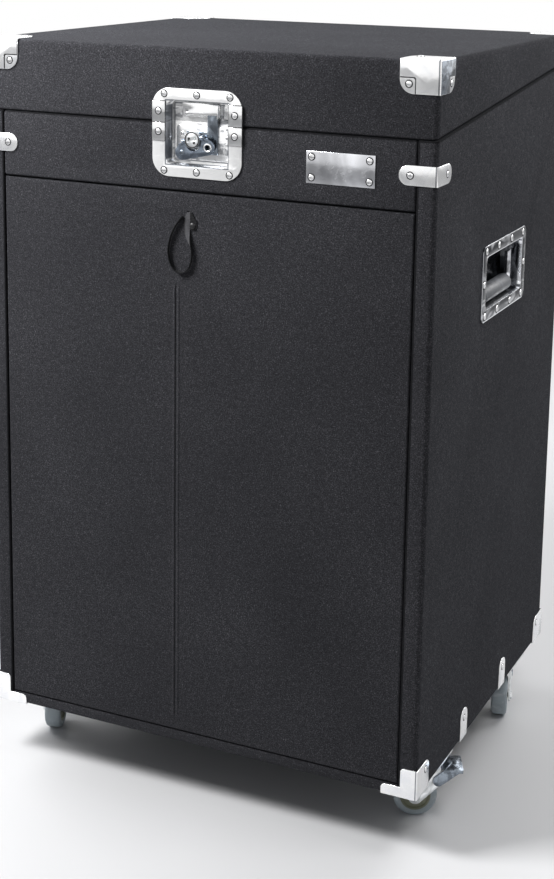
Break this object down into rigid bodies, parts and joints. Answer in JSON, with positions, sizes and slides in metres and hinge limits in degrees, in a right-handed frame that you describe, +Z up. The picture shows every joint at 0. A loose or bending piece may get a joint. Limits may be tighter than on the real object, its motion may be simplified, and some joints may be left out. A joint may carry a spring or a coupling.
{
  "type": "rack case",
  "caption": "Carpet covered rack case on swivel casters with a front bay, a slanted top bay, a wedge shaped hinged lid, pull out covers, a twist latch and folding side handles.",
  "frame": {"origin": "middle of the footprint on the floor", "axes": "+Z up, front face looks to -Y, +X to the right seen from the front"},
  "size_m": [0.5734, 0.493, 0.861],
  "materials": {
    "carpet": "plywood covered in dark charcoal felt carpet",
    "bare_plywood": "bare plywood batten",
    "black_rail": "black powder coated steel",
    "zinc_hardware": "zinc plated steel",
    "plate_metal": "polished metal plate",
    "bright_trim": "bright nickel plated steel",
    "latch_chrome": "bright nickel plated pressed steel",
    "dark_wing": "dark plated steel",
    "handle_chrome": "bright plated pressed steel",
    "grip_rubber": "smooth dark rubber",
    "webbing": "black woven webbing",
    "caster_zinc": "zinc plated pressed steel",
    "caster_tyre": "grey rubber tyre on a pale olive core"
  },
  "bodies": {
    "case": {"side_panel_right": "carpet", "side_panel_left": "carpet", "base_panel": "carpet", "front_header": "carpet", "rear_header": "carpet", "cover_stops": "bare_plywood", "rack_rail_front_right": "black_rail", "rack_rail_front_left": "black_rail", "rack_rail_rear_right": "black_rail", "rack_rail_rear_left": "black_rail", "top_rail_right": "black_rail", "top_rail_left": "black_rail", "cage_nuts": "zinc_hardware", "rail_screws": "zinc_hardware", "nameplate": "plate_metal", "header_braces": "bright_trim", "foot_corners": "bright_trim", "edge_straps": "bright_trim", "trim_rivets": "bright_trim", "latch_tray": "latch_chrome", "latch_plate": "latch_chrome", "hinge_body_leaves": "zinc_hardware", "hinge_pins": "zinc_hardware", "handle_dish_right": "handle_chrome", "handle_dish_left": "handle_chrome", "caster_plates": "zinc_hardware", "caster_bolts": "zinc_hardware"},
    "lid": {"lid_top": "carpet", "lid_front": "carpet", "lid_rear": "carpet", "lid_side_right": "carpet", "lid_side_left": "carpet", "lid_corners": "bright_trim", "lid_rivets": "bright_trim", "latch_lid_tray": "latch_chrome", "latch_keeper": "latch_chrome", "hinge_lid_leaves": "zinc_hardware"},
    "latch_hub": {"latch_hub": "latch_chrome"},
    "latch_wing": {"latch_wing": "dark_wing"},
    "latch_claw": {"latch_claw": "latch_chrome"},
    "handle_right": {"handle_bail_right": "handle_chrome", "handle_grip_right": "grip_rubber"},
    "handle_left": {"handle_bail_left": "handle_chrome", "handle_grip_left": "grip_rubber"},
    "front_cover": {"front_cover": "carpet", "front_pull_loop": "webbing"},
    "rear_cover": {"rear_cover": "carpet", "rear_pull_loop": "webbing"},
    "fork_front_right": {"caster_fork_front_right": "caster_zinc"},
    "wheel_front_right": {"caster_wheel_front_right": "caster_tyre"},
    "pedal_front_right": {"caster_pedal_front_right": "caster_zinc"},
    "fork_front_left": {"caster_fork_front_left": "caster_zinc"},
    "wheel_front_left": {"caster_wheel_front_left": "caster_tyre"},
    "pedal_front_left": {"caster_pedal_front_left": "caster_zinc"},
    "fork_rear_right": {"caster_fork_rear_right": "caster_zinc"},
    "wheel_rear_right": {"caster_wheel_rear_right": "caster_tyre"},
    "pedal_rear_right": {"caster_pedal_rear_right": "caster_zinc"},
    "fork_rear_left": {"caster_fork_rear_left": "caster_zinc"},
    "wheel_rear_left": {"caster_wheel_rear_left": "caster_tyre"},
    "pedal_rear_left": {"caster_pedal_rear_left": "caster_zinc"}
  },
  "joints": [
    {"name": "lid_hinge", "type": "hinge", "parent": "case", "child": "lid", "pos_m": [0, 0.2408, 0.82441], "axis": [-1, 0, 0], "range_deg": [0, 105]},
    {"name": "front_cover_pull", "type": "slide", "parent": "case", "child": "front_cover", "axis": [0, -1, 0], "range_m": [0, 0.25]},
    {"name": "rear_cover_pull", "type": "slide", "parent": "case", "child": "rear_cover", "axis": [0, 1, 0], "range_m": [0, 0.25]},
    {"name": "latch_turn", "type": "hinge", "parent": "case", "child": "latch_hub", "pos_m": [-0.0085, -0.2325, 0.7618], "axis": [0, 1, 0], "range_deg": [0, 180]},
    {"name": "latch_wing_fold", "type": "hinge", "parent": "latch_hub", "child": "latch_wing", "pos_m": [-0.0085, -0.2325, 0.7618], "axis": [-0.9748, 0, -0.2233], "range_deg": [0, 90]},
    {"name": "latch_claw_lift", "type": "slide", "parent": "case", "child": "latch_claw", "axis": [0, 0, 1], "range_m": [0, 0.007]},
    {"name": "handle_right_swing", "type": "hinge", "parent": "case", "child": "handle_right", "pos_m": [0.2535, 0.0015, 0.621], "axis": [0, -1, 0], "range_deg": [0, 90]},
    {"name": "handle_left_swing", "type": "hinge", "parent": "case", "child": "handle_left", "pos_m": [-0.2535, 0.0015, 0.621], "axis": [0, 1, 0], "range_deg": [0, 90]},
    {"name": "swivel_front_right", "type": "hinge", "parent": "case", "child": "fork_front_right", "pos_m": [0.244, -0.1405, 0.07], "axis": [0, 0, 1], "continuous": true},
    {"name": "roll_front_right", "type": "hinge", "parent": "fork_front_right", "child": "wheel_front_right", "pos_m": [0.23309, -0.1455, 0.025], "axis": [-0.4163, 0.9092, 0], "continuous": true},
    {"name": "brake_front_right", "type": "hinge", "parent": "fork_front_right", "child": "pedal_front_right", "pos_m": [0.25582, -0.13509, 0.046], "axis": [-0.4163, 0.9092, 0], "range_deg": [0, 12]},
    {"name": "swivel_front_left", "type": "hinge", "parent": "case", "child": "fork_front_left", "pos_m": [-0.244, -0.1405, 0.07], "axis": [0, 0, 1], "continuous": true},
    {"name": "roll_front_left", "type": "hinge", "parent": "fork_front_left", "child": "wheel_front_left", "pos_m": [-0.2399, -0.15178, 0.025], "axis": [-0.9397, -0.342, 0], "continuous": true},
    {"name": "brake_front_left", "type": "hinge", "parent": "fork_front_left", "child": "pedal_front_left", "pos_m": [-0.24845, -0.12828, 0.046], "axis": [-0.9397, -0.342, 0], "range_deg": [0, 12]},
    {"name": "swivel_rear_right", "type": "hinge", "parent": "case", "child": "fork_rear_right", "pos_m": [0.244, 0.1405, 0.07], "axis": [0, 0, 1], "continuous": true},
    {"name": "roll_rear_right", "type": "hinge", "parent": "fork_rear_right", "child": "wheel_rear_right", "pos_m": [0.24711, 0.12891, 0.025], "axis": [-0.9659, -0.2588, 0], "continuous": true},
    {"name": "brake_rear_right", "type": "hinge", "parent": "fork_rear_right", "child": "pedal_rear_right", "pos_m": [0.24063, 0.15306, 0.046], "axis": [-0.9659, -0.2588, 0], "range_deg": [0, 12]},
    {"name": "swivel_rear_left", "type": "hinge", "parent": "case", "child": "fork_rear_left", "pos_m": [-0.244, 0.1405, 0.07], "axis": [0, 0, 1], "continuous": true},
    {"name": "roll_rear_left", "type": "hinge", "parent": "fork_rear_left", "child": "wheel_rear_left", "pos_m": [-0.23309, 0.1355, 0.025], "axis": [-0.4163, -0.9092, 0], "continuous": true},
    {"name": "brake_rear_left", "type": "hinge", "parent": "fork_rear_left", "child": "pedal_rear_left", "pos_m": [-0.25582, 0.14591, 0.046], "axis": [-0.4163, -0.9092, 0], "range_deg": [0, 12]}
  ],
  "couplings": [
    {"joint": "latch_turn", "follows": "latch_wing_fold", "ratio": 2},
    {"joint": "latch_claw_lift", "follows": "latch_wing_fold", "m_per_rad": 0.0044559}
  ]
}
